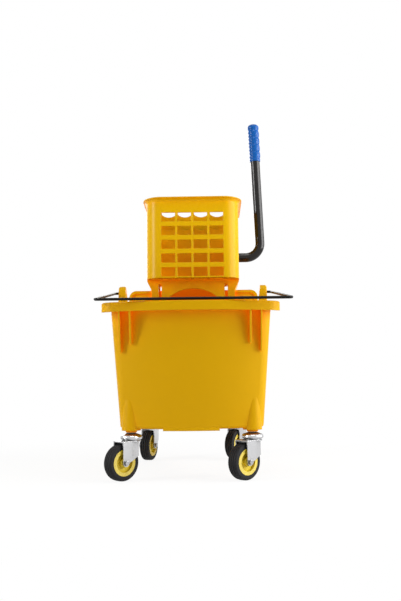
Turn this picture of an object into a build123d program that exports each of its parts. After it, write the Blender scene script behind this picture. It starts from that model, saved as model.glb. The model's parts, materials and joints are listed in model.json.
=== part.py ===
from build123d import *
import math
import os

# A mop bucket on four swivel casters, with a side-press wringer hooked over its rear half.
# Millimetres, +Z up, front towards -Y, floor at Z = 0, origin midway between rim front and hook.

# Fits
running_gap = 0.1
seat_gap = 0.3
slide_gap = 0.6
cut_past = 1.0

# Casters, from the floor up
wheel_radius = 38.1
tyre_half = 12.0
tyre_shoulder = 5.0
hub_radius = 27.3
hub_ring = 7.5
hub_dish = 6.0
hub_nave = 9.5
hub_half = 14.5
caster_trail = 26.0
axle_radius = 4.0
axle_head_flats = 9.0
axle_head = 4.5
axle_nut_flats = 13.0
axle_nut = 6.5
sleeve_radius = 6.0
fork_wall = 2.5
fork_gap = 31.0
crown_clearance = 3.5
fork_crown_radius = 20.0
leg_tail = 7.6
leg_nose = 9.0
leg_nose_drop = 28.7
leg_crease = 17.0
leg_pinch = 3.6
race_out = 18.5
race_rise = 2.6
ball_radius = 3.0
ball_ring = 13.5
ball_show = 0.72
ball_count = 12
cup_radius = 22.0
cup_bulge = 23.0
cup_gap = 2.8
cup_height = 9.5
cup_crown = 3.0
cup_shoulder_radius = 17.6
king_radius = 6.0
king_head = 9.0
king_head_height = 3.4
stem_radius = 5.5
stem_length = 34.0
collar_radius = 9.5
collar_height = 1.5
caster_turns = {"front_left": 43.0, "front_right": 42.5, "rear_left": 74.0, "rear_right": 60.0}

# Tub
tub_length = 503.5
tub_depth = 265.5
rim_half_front = 191.5
rim_half_rear = 166.0
front_bow = 38.0
rear_bow = 14.0
rim_corner = 34.0
rim_lip = 20.0
side_lip = 6.0
lip_start = 48.0
lip_taper = 150.0
rim_wall = 4.0
rim_round = 2.5
rim_overhang = 19.2
wall_corner = 27.0
tub_wall = 3.8
wall_draft = 4.2
floor_thick = 4.5
floor_round = 6.0
foot_radius = 20.5
foot_top_radius = 16.0
foot_drop = 3.5
foot_rise = 70.0
socket_radius = 12.0
socket_drop = 4.0
inner_boss_radius = 16.0
inner_boss_height = 37.5
lip_half_width = 59.0
lip_depth = 16.0
swivel_in_front = 63.2
swivel_back_front = 73.9
swivel_in_rear = 52.0
swivel_back_rear = 69.6
outer_gusset_in = 42.5
outer_gusset_thick = 3.5
outer_gusset_drop = 84.0
inner_gusset_in = 65.5
inner_gusset_thick = 3.8
inner_gusset_drop = 67.0
gusset_foot = 6.0

# Ears and bail
ear_back = 243.9
ear_setback = 3.4
ear_base = 19.5
ear_top = 15.5
ear_half_base = 25.0
ear_radius = 16.5
ear_round = 4.5
ear_bore = 13.0
bail_rise = 41.4
bail_wire = 6.0
bail_rest = 1.2
bail_stand = 9.0
bail_corner_out = 13.5
bail_skew = 7.5
bail_bar_setback = 9.0
bail_bend = 8.0
bail_end = 11.5

# Wringer base, the hood that sits on the rim
hook_wall = 4.0
hook_drop = 24.0
hook_half = 62.0
hood_wall = 4.0
hood_in = 7.5
hood_rise = 53.0
hood_shoulder = 18.0
hood_setback = 27.6
hood_length = 180.0
hood_rear_corner = 34.0
hood_band = 7.0
hood_band_thick = 3.0
seat_flange = 11.0
pedestal_rise = 25.5
skirt_drop = 4.0
slot_drop = 9.5
panel_ahead = 7.0
panel_thick = 4.0
panel_drop = 34.0
leg_in = 10.8
apron_in = 24.8
slot_width = 7.4
rib_thick = 3.0
rib_depth = 14.0
arch_radius = 94.0
arch_rise = 4.0

# Wringer basket
basket_half = 113.2
basket_length = 198.0
basket_setback = 32.0
basket_tall = 196.5
basket_slope = 3.0
basket_wall = 4.0
basket_floor = 4.0
front_corner = 38.0
rear_corner = 16.0
lip_flare = 8.5
lip_height = 12.5
lip_edge = 2.0
lip_steps = 5
lip_root = 1.0
window_cols = 4
window_rows = 5
window_width = 33.6
window_height = 22.0
window_pitch_x = 38.9
window_pitch_z = 33.6
window_sill = 3.4
floor_past = 2.0
floor_in = 29.2
side_floor_short = 30.0
ledge_depth = 22.0
drain_width = 30.0
drain_length = 22.0
drain_pitch = 33.0
drain_rows = 2
screw_radius = 2.5
screw_head = 4.8
screw_head_height = 2.6
screw_length = 18.0
screw_boss = 7.0
screw_in = 15.2

# Press plate and its guides
drive_room = 104.0
plate_wall = 4.0
plate_side_gap = 3.0
plate_floor_gap = 5.5
plate_drop = 8.0
plate_rib = 7.0
rib_width = 3.0
pad_reach = 14.0
pad_half = 14.0
hole_rows = 2
hole_pitch = 41.1
hole_width = 36.5
hole_height = 16.0
hole_sag = 7.5
hole_rise = 124.5
lug_length = 14.0
lug_height = 8.0
lug_rise = 21.0
lug_step = 91.0

# Lever, shaft and cams
shaft_radius = 12.0
tube_wall = 2.0
shaft_rise = 66.0
pad_to_shaft = 15.0
lever_out = 59.6
lever_lean = 2.3
lever_bend = 37.0
lever_tall = 347.5
grip_length = 100.5
grip_radius = 13.9
grip_bump = 0.9
grip_bumps = 5
grip_end = 5.0
bush_wall = 2.8
bush_flange = 6.5
bush_flange_thick = 1.5
boss_wall = 5.5
boss_thick = 1.0
cap_thick = 1.5
cap_flange = 4.0
cap_plug = 14.0
lever_turn = 80.0
cam_circle = 40.0
cam_thick = 8.0
cam_inset = 14.2
cam_lead_in = 20.0
cam_overrun = 4.0
cam_steps = 10
hub_wall = 3.4
hub_reach = 16.0
hub_flat = 13.9
bolt_radius = 3.0
bolt_inset = 9.0
bolt_head_flats = 10.0
bolt_head = 4.0
nut_height = 5.0

# Return springs
spring_x = 52.5
spring_rise = 43.5
spring_wire = 1.6
spring_pitch = 2.6
spring_turns = 18
spring_neck = 7.0
pin_radius = 3.0
lug_wall = 3.5
lug_size = 14.0

# Heights that follow, from the floor up
fork_crown_under = 2 * wheel_radius + crown_clearance
fork_crown_top = fork_crown_under + fork_wall
leg_nose_low = fork_crown_under - leg_nose_drop
race_top = fork_crown_top + race_rise
ball_z = race_top + ball_radius * ball_show
cup_ceiling = ball_z + ball_radius * ball_show
cup_under = fork_crown_top + cup_gap
cup_shoulder = cup_under + cup_height
cup_top = cup_shoulder + cup_crown
socket_under = cup_top + collar_height
foot_under = socket_under + socket_drop
floor_under = foot_under + foot_drop
floor_top = floor_under + floor_thick
inner_boss_top = floor_under + inner_boss_height
rim_top = floor_under + tub_depth
rim_under = rim_top - rim_lip
bail_pivot_z = rim_top + bail_rise
ear_rise = bail_rise + ear_radius
panel_under = rim_top - panel_drop
hood_top = rim_top + hood_rise
arch_top = hood_top + arch_rise
basket_under = hood_top + pedestal_rise
skirt_under = basket_under - skirt_drop
slot_top = basket_under - slot_drop
basket_floor_top = basket_under + basket_floor
basket_top_front = basket_under + basket_tall
window_low = basket_under + window_sill
plate_under = basket_floor_top + plate_floor_gap
plate_top = basket_top_front - plate_drop
hole_low = plate_under + hole_rise
lug_levels = (plate_under + lug_rise, plate_under + lug_rise + lug_step)
shaft_z = basket_under + shaft_rise
spring_z = shaft_z + spring_rise

# Places that follow, from front to rear
tub_front = -(tub_length + seat_gap + hook_wall) / 2
tub_rear = tub_front + tub_length
side_fall = (rim_half_front - rim_half_rear) / (tub_length - front_bow - rear_bow)
hood_rear = tub_rear - hood_setback
hood_front = hood_rear - hood_length
panel_front = hood_front - panel_ahead
basket_rear = hood_rear - basket_setback
basket_front = basket_rear - basket_length
plate_front = basket_rear - drive_room
floor_rear = plate_front + floor_past
side_floor_rear = plate_front - side_floor_short
shaft_y = plate_front + pad_reach + pad_to_shaft
plate_pin_y = plate_front + plate_wall + lug_size / 2
basket_pin_y = basket_rear - basket_wall - lug_size / 2

# Places that follow, from the middle outward
swivel_front = (rim_half_front - swivel_in_front, tub_front + swivel_back_front)
swivel_rear = (rim_half_rear - swivel_in_rear, tub_rear - swivel_back_rear)
gussets = (
    (rim_half_front - outer_gusset_in, outer_gusset_thick, rim_under - outer_gusset_drop),
    (rim_half_front - inner_gusset_in, inner_gusset_thick, rim_under - inner_gusset_drop),
)
ear_y = tub_front + ear_back
ear_rim_half = rim_half_front - side_fall * (ear_back - front_bow)
ear_out = ear_rim_half - ear_setback
bail_radius = bail_wire / 2
bail_side = ear_out + bail_stand
bail_corner_x = rim_half_front + bail_corner_out
bail_bar_y = tub_front + bail_bar_setback
bail_bar_z = rim_top + bail_radius + bail_rest
hood_half = rim_half_rear - hood_in
leg_half = basket_half - leg_in
apron_half = leg_half - apron_in
floor_half = basket_half - floor_in
screw_x = basket_half - screw_in
plate_half = basket_half - basket_wall - plate_side_gap
cam_in = plate_half - cam_inset
bolt_x = cam_in - bolt_inset
lever_x = basket_half + lever_out
bush_radius = shaft_radius + running_gap + bush_wall
boss_radius = bush_radius + running_gap + boss_wall
boss_face = basket_half + boss_thick
bush_face = boss_face + bush_flange_thick
shaft_left = -(bush_face + seat_gap)
hub_cam_radius = shaft_radius + running_gap + hub_wall
cam_travel = cam_circle * math.radians(lever_turn)
coil_radius = pin_radius + seat_gap + spring_wire / 2
lean = math.radians(lever_lean)
lever_dir = Vector(-math.sin(lean), 0, math.cos(lean))
lever_reach = lever_tall / math.cos(lean)


def mirrored(shape):
    """The same shape on the other side of the object's middle plane."""
    return mirror(shape, Plane.YZ)


def block(x0, x1, y0, y1, z0, z1):
    """A box between two corners."""
    size = (x1 - x0, y1 - y0, z1 - z0)
    return Pos((x0 + x1) / 2, (y0 + y1) / 2, (z0 + z1) / 2) * Box(*size)


def rod_x(radius, x0, x1, y, z):
    """A round bar along X."""
    return Pos((x0 + x1) / 2, y, z) * Rot(0, 90, 0) * Cylinder(radius, abs(x1 - x0))


def rod_z(radius, z0, z1, x=0.0, y=0.0):
    """A round bar along Z."""
    return Pos(x, y, (z0 + z1) / 2) * Cylinder(radius, z1 - z0)


def wall_inset(z):
    """How far the tub's drafted outer wall stands in from the rim's edge at a height."""
    return rim_overhang + (rim_under - z) * math.tan(math.radians(wall_draft))


def tub_plan(inset, corner):
    """The tub seen from above: bowed ends, sides that draw in to the rear, round corners."""
    front = tub_front + inset
    rear = tub_rear - inset
    half_front = rim_half_front - inset
    half_rear = rim_half_rear - inset
    front_left = (-half_front, front + front_bow)
    front_right = (half_front, front + front_bow)
    rear_right = (half_rear, rear - rear_bow)
    rear_left = (-half_rear, rear - rear_bow)
    edges = [
        ThreePointArc(front_left, (0, front), front_right),
        Line(front_right, rear_right),
        ThreePointArc(rear_right, (0, rear), rear_left),
        Line(rear_left, front_left),
    ]
    face = make_face(edges)
    return fillet(face.vertices(), corner)


def tub_block(inset, corner, z0, z1):
    """An upright prism of the tub's plan."""
    return Pos(0, 0, z0) * extrude(tub_plan(inset, corner), z1 - z0)


def tub_loft(z0, z1, inward, corner):
    """A drafted body of the tub's plan between two heights, drawn in by a wall."""
    low = Pos(0, 0, z0) * tub_plan(wall_inset(z0) + inward, corner)
    high = Pos(0, 0, z1) * tub_plan(wall_inset(z1) + inward, corner)
    return loft([low, high])


def gusset(x, thick, low):
    """A web under the front rim: full depth at the turned-down lip, shallow at its foot."""
    web = block(x - thick / 2, x + thick / 2, tub_front, swivel_front[1], low, rim_top - rim_wall)
    inset = rim_wall / 2
    at_lip = Pos(0, 0, rim_under) * tub_plan(inset, rim_corner - inset)
    at_foot = Pos(0, 0, low) * tub_plan(wall_inset(low) - gusset_foot, wall_corner)
    depth = loft([at_foot, at_lip]) + tub_block(inset, rim_corner - inset, rim_under, rim_top)
    return web & depth


def swivel_points():
    """Names and places of the four caster sockets."""
    fx, fy = swivel_front
    rx, ry = swivel_rear
    return {
        "front_left": (-fx, fy),
        "front_right": (fx, fy),
        "rear_left": (-rx, ry),
        "rear_right": (rx, ry),
    }


def ear():
    """The right ear: a lug on the side rim with a round top, drawn in inside, and a blind bore."""
    top = Pos(0, bail_pivot_z) * Circle(ear_radius)
    foot = Pos(0, rim_top) * Rectangle(2 * ear_half_base, rim_wall)
    side = make_hull(top.edges() + foot.edges())
    inner = ear_out - ear_base
    body = Pos(inner, ear_y, 0) * extrude(Plane.YZ * side, ear_base)
    drawn = ear_base - ear_top
    wedge = Polyline((0, 0), (drawn, ear_rise), (-drawn, ear_rise), (-drawn, 0), close=True)
    body -= Pos(inner, ear_y + ear_half_base, rim_top) * extrude(
        Plane.XZ * make_face(wedge), 2 * ear_half_base
    )
    outer_face = body.faces().sort_by(Axis.X)[-1]
    body = fillet([e for e in outer_face.edges() if e.center().Z > rim_top], ear_round)
    return body - rod_x(bail_radius + seat_gap, ear_out - ear_bore, ear_out + cut_past, ear_y, bail_pivot_z)


def side_lip_cut():
    """A cutter that makes the rim's turned-down lip shallow along the sides and the rear."""
    start = tub_front + lip_start
    shallow = rim_top - side_lip
    end = tub_rear + cut_past
    low = rim_under - cut_past
    outline = Polyline(
        (start, low), (start, rim_under), (start + lip_taper, shallow), (end, shallow), (end, low), close=True
    )
    return Pos(-rim_half_front, 0, 0) * extrude(Plane.YZ * make_face(outline), 2 * rim_half_front)


def tub():
    """The bucket: drafted walls, turned-down rim, gussets, feet with caster sockets, two ears."""
    body = tub_loft(floor_under, rim_top, 0, wall_corner)
    body = fillet(body.faces().sort_by(Axis.Z)[0].edges(), floor_round)
    rim = tub_block(0, rim_corner, rim_under, rim_top)
    rim = fillet(rim.faces().sort_by(Axis.Z)[-1].edges(), rim_round)
    rim -= tub_block(rim_wall, rim_corner - rim_wall, rim_under, rim_top - rim_wall)
    body += rim - side_lip_cut()
    for x, thick, low in gussets:
        web = gusset(x, thick, low)
        body += web
        body += mirrored(web)
    lip_top = floor_under + floor_round
    lip = tub_block(wall_inset(floor_under), wall_corner, foot_under, lip_top)
    front = tub_front + wall_inset(floor_under)
    body += lip & block(-lip_half_width, lip_half_width, front, front + lip_depth, foot_under, lip_top)
    for x, y in swivel_points().values():
        body += Pos(x, y, foot_under + foot_rise / 2) * Cone(foot_radius, foot_top_radius, foot_rise)
    void = tub_loft(floor_top, rim_top + cut_past, tub_wall, wall_corner - tub_wall)
    body -= void
    for x, y in swivel_points().values():
        body += rod_z(inner_boss_radius, floor_under, inner_boss_top, x, y)
        body += rod_z(socket_radius, socket_under, floor_under, x, y)
    for x, y in swivel_points().values():
        body -= rod_z(stem_radius + running_gap, socket_under, socket_under + stem_length + cut_past, x, y)
    lug = ear()
    return body + lug + mirrored(lug)


def bail():
    """The carrying handle: one bent wire with its ends in the ears, its bar sprung to the right."""
    def half(side):
        return [
            (side * bail_corner_x + bail_skew, bail_bar_y, bail_bar_z),
            (side * bail_side, ear_y, bail_pivot_z),
            (side * (ear_out - bail_end), ear_y, bail_pivot_z),
        ]
    left = half(-1)[::-1]
    path = FilletPolyline(*left, *half(1), radius=bail_bend)
    section = Plane(left[0], z_dir=(-1, 0, 0)) * Circle(bail_radius)
    return sweep(section, path)


def hood_section(inward):
    """The hood's inverted U seen from the front, drawn in by a wall."""
    half = hood_half - inward
    low = rim_top + seat_gap
    high = hood_top - inward
    face = Pos(0, (low + high) / 2) * Rectangle(2 * half, high - low)
    top = face.vertices().group_by(Axis.Y)[-1]
    return fillet(top, hood_shoulder - inward)


def hood_prism(inward, y0, y1):
    """The hood's section carried from front to rear."""
    return Pos(0, y1, 0) * extrude(Plane.XZ * hood_section(inward), y1 - y0)


def hood_body(inward, y0, y1):
    """The hood's prism with rounded rear corners."""
    body = hood_prism(inward, y0, y1)
    half = hood_half - inward
    plan = Pos(0, (y0 + y1) / 2) * Rectangle(2 * half, y1 - y0)
    plan = fillet(plan.vertices().group_by(Axis.Y)[-1], hood_rear_corner - inward)
    return body & extrude(plan, 2 * hood_top)


def funnel_section():
    """The pedestal between the hood's top and the basket, seen from the front."""
    outline = Polyline(
        (-leg_half, panel_under),
        (leg_half, panel_under),
        (leg_half, hood_top),
        (basket_half, skirt_under),
        (basket_half, basket_under),
        (-basket_half, basket_under),
        (-basket_half, skirt_under),
        (-leg_half, hood_top),
        close=True,
    )
    return make_face(outline)


def front_panel():
    """The panel below the basket: an arched apron between two slots and two legs."""
    back = panel_front + panel_thick
    panel = Pos(0, back, 0) * extrude(Plane.XZ * funnel_section(), panel_thick)
    arch = Pos(0, panel_front + panel_thick / 2, arch_top - arch_radius) * Rot(90, 0, 0)
    panel -= arch * Cylinder(arch_radius, 2 * panel_thick)
    slot = block(
        apron_half, apron_half + slot_width, panel_front - cut_past, back + cut_past,
        panel_under - cut_past, slot_top
    )
    panel -= slot + mirrored(slot)
    rib_x = apron_half + slot_width
    rib = block(rib_x, rib_x + rib_thick, panel_front, back + rib_depth, panel_under, hood_top)
    return panel + rib + mirrored(rib)


def funnel_side():
    """The right sloped side of the pedestal, from the hood's top up to the basket."""
    outline = Polyline(
        (leg_half, hood_top - hood_wall),
        (leg_half, hood_top),
        (basket_half, skirt_under),
        (basket_half, basket_under),
        (basket_half - basket_wall, basket_under),
        (basket_half - basket_wall, skirt_under),
        (leg_half - basket_wall, hood_top),
        (leg_half - basket_wall, hood_top - hood_wall),
        close=True,
    )
    length = basket_rear - panel_front
    return Pos(0, basket_rear, 0) * extrude(Plane.XZ * make_face(outline), length)


def screw_places():
    """The four points where the basket is screwed down on the base."""
    front = side_floor_rear - screw_boss - basket_floor
    rear = basket_rear - basket_wall - ledge_depth / 2
    return [(x, y) for y in (front, rear) for x in (-screw_x, screw_x)]


def wringer_base():
    """The hood on the rim, its seats and rear hook, and the pedestal that carries the basket."""
    low = rim_top + seat_gap
    body = hood_body(0, hood_front, hood_rear)
    body -= hood_body(hood_wall, hood_front - cut_past, hood_rear - hood_wall)
    band = hood_prism(0, hood_front, hood_front + hood_band_thick)
    band -= hood_prism(hood_band, hood_front - cut_past, hood_front + hood_band_thick + cut_past)
    body += band
    inside = leg_half - basket_wall
    wing_front = hood_front + hood_band_thick
    wing_rear = wing_front + hood_wall
    wing = hood_prism(0, wing_front, wing_rear)
    body += wing - block(-inside, inside, wing_front, wing_rear, low, hood_top)
    body -= block(
        -inside, inside, hood_front - cut_past, basket_rear - basket_wall, hood_top - 2 * hood_band,
        hood_top + cut_past
    )
    flange = block(
        hood_half - hood_wall, hood_half + seat_flange, hood_front, hood_rear - 2 * hood_rear_corner, low,
        low + hood_wall
    )
    flange &= tub_block(rim_round, rim_corner, low, low + hood_wall)
    body += flange + mirrored(flange)
    hook_y = tub_rear + seat_gap + hook_wall
    hook = block(-hook_half, hook_half, hood_rear - hood_wall, hook_y, low, low + hook_wall)
    hook += block(-hook_half, hook_half, hook_y - hook_wall, hook_y, low - hook_drop, low + hook_wall)
    body += hook
    body += front_panel()
    side = funnel_side()
    body += side + mirrored(side)
    under = hood_top - hood_wall
    rear = basket_rear - basket_wall
    body += block(-apron_half, apron_half, rear, basket_rear, under, basket_under)
    body += block(-leg_half, leg_half, rear, basket_rear, under, slot_top)
    for x, y in screw_places():
        ends = sorted((x, math.copysign(leg_half, x)))
        body += rod_z(screw_boss, under, basket_under, x, y)
        body += block(*ends, y - rib_thick, y + rib_thick, under, basket_under)
    for x, y in screw_places():
        body -= rod_z(screw_radius + running_gap, basket_under - screw_length, basket_under + cut_past, x, y)
    return body


def basket_plan(inset):
    """The basket seen from above."""
    front = basket_front + inset
    rear = basket_rear - inset
    face = Pos(0, (front + rear) / 2) * Rectangle(2 * (basket_half - inset), rear - front)
    ends = face.vertices().group_by(Axis.Y)
    face = fillet(ends[0], front_corner - inset)
    return fillet(face.vertices().group_by(Axis.Y)[-1], rear_corner - inset)


def basket_lip():
    """The flared lip round the basket's top, which slopes down to the rear."""
    tilt = Pos(0, basket_front, basket_top_front) * Rot(-basket_slope, 0, 0) * Pos(0, -basket_front, 0)
    sections = []
    for step in range(lip_steps + 1):
        swing = math.radians(90 * step / lip_steps)
        height = (lip_height - lip_edge) * math.sin(swing) - lip_height
        outward = (lip_flare + lip_root) * (1 - math.cos(swing)) - lip_root
        sections.append(Pos(0, 0, height) * basket_plan(-outward))
    flare = loft(sections, ruled=True)
    return tilt * (flare + Pos(0, 0, -lip_edge) * extrude(basket_plan(-lip_flare), lip_edge))


def spring_lug(x, y, toward):
    """A forked lug with a bore for a spring's pin, on a face that lies behind it."""
    half = coil_radius + spring_wire
    reach = lug_size / 2
    outer = half + lug_wall
    low = spring_z - reach
    high = spring_z + reach
    lug = block(x - outer, x + outer, y - reach, y + reach, low, high)
    gap = block(x - half, x + half, y - reach, y + reach, low, high)
    lug -= Pos(0, toward * (reach - half), 0) * gap
    return lug - rod_x(pin_radius + running_gap, x - outer, x + outer, y, spring_z)


def window_places():
    """Middles of the front wall's windows, as x and z."""
    span = (window_cols - 1) * window_pitch_x
    xs = [i * window_pitch_x - span / 2 for i in range(window_cols)]
    zs = [window_low + window_height / 2 + j * window_pitch_z for j in range(window_rows)]
    return xs, zs


def wringer_basket():
    """The box that takes the mop: windowed front, drained floor, lug slots and shaft bosses."""
    tall = basket_top_front - basket_under
    body = Pos(0, 0, basket_under) * extrude(basket_plan(0), tall)
    hollow = Pos(0, 0, basket_under) * extrude(basket_plan(basket_wall), tall + lip_height)
    body += basket_lip()
    above = Pos(0, basket_front, basket_top_front) * Rot(-basket_slope, 0, 0)
    body -= above * Pos(0, 0, tall) * Box(4 * basket_half, 4 * basket_rear, 2 * tall)
    body -= hollow
    inside = Pos(0, 0, basket_under) * extrude(basket_plan(basket_wall / 2), basket_floor)
    floor = block(-floor_half, floor_half, basket_front, floor_rear, basket_under, basket_floor_top)
    floor += block(-basket_half, basket_half, basket_front, side_floor_rear, basket_under, basket_floor_top)
    ledge_front = basket_rear - basket_wall - ledge_depth
    for side in (-1, 1):
        ends = sorted((side * floor_half, side * basket_half))
        floor += block(*ends, ledge_front, basket_rear, basket_under, basket_floor_top)
    body += floor & inside
    xs, zs = window_places()
    for x in xs:
        for z in zs:
            body -= Pos(x, basket_front, z) * Box(window_width, 4 * basket_wall, window_height)
        for k in range(drain_rows):
            y = basket_front + basket_wall + drain_length + drain_pitch * k
            body -= Pos(x, y, basket_under) * Box(drain_width, drain_length, 3 * basket_floor)
    slot_front = plate_front - cam_travel - slide_gap
    slot_rear = plate_front + lug_length + slide_gap
    for z in lug_levels:
        half = lug_height / 2 + slide_gap
        body -= block(-2 * basket_half, 2 * basket_half, slot_front, slot_rear, z - half, z + half)
    for x in (-1, 1):
        body += rod_x(boss_radius, x * (basket_half - basket_wall / 2), x * boss_face, shaft_y, shaft_z)
    body -= rod_x(bush_radius + running_gap, -2 * basket_half, 2 * basket_half, shaft_y, shaft_z)
    for x in (-spring_x, spring_x):
        body += spring_lug(x, basket_pin_y, -1)
    for x, y in screw_places():
        body -= rod_z(screw_radius + running_gap, basket_under - cut_past, basket_floor_top + cut_past, x, y)
    return body


def basket_screws():
    """Four pan-head screws, down through the basket's floor into the base."""
    screws = []
    for x, y in screw_places():
        shank = rod_z(screw_radius, basket_floor_top - screw_length, basket_floor_top, x, y)
        head = rod_z(screw_head, basket_floor_top, basket_floor_top + screw_head_height, x, y)
        screws.append(shank + head)
    return screws


def round_hole(x, low):
    """A hole with a flat top and a bowed bottom, as a cutter through the press plate."""
    half = hole_width / 2
    arc = ThreePointArc((x - half, low + hole_sag), (x, low), (x + half, low + hole_sag))
    rest = Polyline(
        (x + half, low + hole_sag),
        (x + half, low + hole_height),
        (x - half, low + hole_height),
        (x - half, low + hole_sag),
    )
    outline = make_face([arc, *rest.edges()])
    return Pos(0, plate_front + 2 * pad_reach, 0) * extrude(Plane.XZ * outline, 3 * pad_reach)


def press_plate():
    """The plate that squeezes the mop: ribs and pads behind, lugs that run in the side slots."""
    rear = plate_front + plate_wall
    body = block(-plate_half, plate_half, plate_front, rear, plate_under, plate_top)
    xs = [(i - (window_cols - 1) / 2) * hole_pitch for i in range(window_cols)]
    middles = [(a + b) / 2 for a, b in zip(xs, xs[1:])]
    for x in middles:
        body += block(x - rib_width / 2, x + rib_width / 2, rear, rear + plate_rib, plate_under, plate_top)
    for z in (plate_under + rib_width, hole_low - rib_width, plate_top - rib_width):
        body += block(-plate_half, plate_half, rear, rear + plate_rib, z - rib_width / 2, z + rib_width / 2)
    pad_z = shaft_z - cam_circle
    pad = block(
        cam_in - slide_gap, cam_in + cam_thick + slide_gap, rear, plate_front + pad_reach, pad_z - pad_half,
        pad_z + pad_half
    )
    body += pad + mirrored(pad)
    for z in lug_levels:
        reach = basket_half - slide_gap
        body += block(
            -reach, reach, plate_front, plate_front + lug_length, z - lug_height / 2, z + lug_height / 2
        ) - block(
            -plate_half + rib_width, plate_half - rib_width, rear, plate_front + lug_length, z - lug_height,
            z + lug_height
        )
    for x in (-spring_x, spring_x):
        body += spring_lug(x, plate_pin_y, 1)
    for x in xs:
        for row in range(hole_rows):
            body -= round_hole(x, hole_low + row * window_pitch_z)
    return body


def lever_tube():
    """One bent tube: the cross shaft, a bend outside the basket and the upright lever."""
    top = Vector(lever_x, shaft_y, shaft_z) + lever_dir * lever_reach
    path = FilletPolyline(
        (shaft_left, shaft_y, shaft_z), (lever_x, shaft_y, shaft_z), top, radius=lever_bend
    )
    section = Circle(shaft_radius) - Circle(shaft_radius - tube_wall)
    tube = sweep(Plane((shaft_left, shaft_y, shaft_z), x_dir=(0, 1, 0), z_dir=(1, 0, 0)) * section, path)
    low = shaft_z - 2 * shaft_radius
    high = shaft_z + 2 * shaft_radius
    for x in (-bolt_x, bolt_x):
        tube -= rod_z(bolt_radius + running_gap, low, high, x, shaft_y)
    return tube


def lever_grip():
    """A moulded grip with finger swells and a domed end, pushed on the lever's top."""
    bore = shaft_radius + running_gap
    swell = (grip_length - 3 * grip_end) / grip_bumps
    dome = grip_radius - grip_end
    z = grip_end
    edges = [Line((bore, 0), (grip_radius, 0)), Line((grip_radius, 0), (grip_radius, z))]
    for _ in range(grip_bumps):
        crest = (grip_radius + grip_bump, z + swell / 2)
        edges.append(ThreePointArc((grip_radius, z), crest, (grip_radius, z + swell)))
        z += swell
    inner = grip_length - grip_end
    start = (grip_radius, z)
    end = (dome, grip_length)
    bend = grip_radius - dome
    middle = (dome + bend * math.sin(math.radians(45)), z + (grip_length - z) * math.sin(math.radians(45)))
    edges.append(ThreePointArc(start, middle, end))
    edges.append(Polyline(end, (0, grip_length), (0, inner), (bore, inner), (bore, 0)))
    body = revolve(Plane.XZ * make_face([e for part in edges for e in part.edges()]), Axis.Z)
    top = Vector(lever_x, shaft_y, shaft_z) + lever_dir * (lever_reach + running_gap - inner)
    return Plane(top, x_dir=(0, 1, 0), z_dir=lever_dir) * body


def shaft_bush(side):
    """A flanged plain bearing in one of the basket's bosses."""
    inner = basket_half - basket_wall
    bush = rod_x(bush_radius, side * inner, side * boss_face, shaft_y, shaft_z)
    bush += rod_x(bush_radius + bush_flange, side * boss_face, side * bush_face, shaft_y, shaft_z)
    return bush - rod_x(shaft_radius + running_gap, side * inner, side * bush_face, shaft_y, shaft_z)


def shaft_end_cap():
    """A plug in the shaft's open end, whose flange keeps the shaft in its bushes."""
    plug = rod_x(shaft_radius - tube_wall - running_gap, shaft_left, shaft_left + cap_plug, shaft_y, shaft_z)
    return plug + rod_x(shaft_radius + cap_flange, shaft_left - cap_thick, shaft_left, shaft_y, shaft_z)


def cam_point(turn):
    """A point of the cam's edge, ahead of and below the shaft: an involute of cam_circle.

    At any turn of the shaft the edge touches a flat pad at the same height, cam_circle below
    the shaft, and the pad stands further ahead by cam_circle times the turn.
    """
    ahead = pad_to_shaft - seat_gap + cam_circle * turn
    return (
        ahead * math.cos(turn) - cam_circle * math.sin(turn),
        ahead * math.sin(turn) + cam_circle * math.cos(turn),
    )


def cam(side):
    """An involute cam with a hub that is clamped on the shaft."""
    first = math.radians(-cam_lead_in)
    last = math.radians(lever_turn + cam_overrun)
    edge = [cam_point(first + (last - first) * i / cam_steps) for i in range(cam_steps + 1)]
    tip = edge[-1]
    heel = (tip[0] - cam_thick, tip[1] - cam_thick)
    lead = hub_cam_radius - seat_gap
    curve = Spline(*edge)
    rest = Polyline(tip, heel, (-lead, 0), (lead, 0), edge[0])
    profile = make_face([curve, *rest.edges()])
    # The profile's axes, ahead and below, lie along -Y and -Z.
    plane = Plane((side * cam_in, shaft_y, shaft_z), x_dir=(0, -1, 0), z_dir=(1, 0, 0))
    body = extrude(plane * profile, side * cam_thick)
    hub_in = side * (cam_in - hub_reach)
    hub = rod_x(hub_cam_radius, hub_in, side * (cam_in + cam_thick), shaft_y, shaft_z)
    flats = Pos(0, shaft_y, shaft_z) * Box(4 * basket_half, 4 * hub_cam_radius, 2 * hub_flat)
    body += hub & flats
    body -= rod_x(shaft_radius + running_gap, hub_in, side * (cam_in + cam_thick), shaft_y, shaft_z)
    x = side * bolt_x
    return body - rod_z(bolt_radius + running_gap, shaft_z - 2 * hub_flat, shaft_z + 2 * hub_flat, x, shaft_y)


def hexagon(flats):
    """A hexagon given across its flats."""
    return RegularPolygon(flats / 2, 6, major_radius=False)


def cam_bolts():
    """Clamp bolts through the cams' hubs and the shaft."""
    bolts = []
    for x in (-bolt_x, bolt_x):
        low = shaft_z - hub_flat - nut_height
        shank = rod_z(bolt_radius, low, shaft_z + hub_flat, x, shaft_y)
        head = Pos(x, shaft_y, shaft_z + hub_flat) * extrude(hexagon(bolt_head_flats), bolt_head)
        bolts.append(shank + head)
    return bolts


def cam_nuts():
    """Nuts under the cams' hubs."""
    nuts = []
    for x in (-bolt_x, bolt_x):
        low = shaft_z - hub_flat - nut_height
        nut = Pos(x, shaft_y, low) * extrude(hexagon(bolt_head_flats), nut_height)
        nuts.append(nut - rod_z(bolt_radius + running_gap, low, low + nut_height, x, shaft_y))
    return nuts


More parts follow.
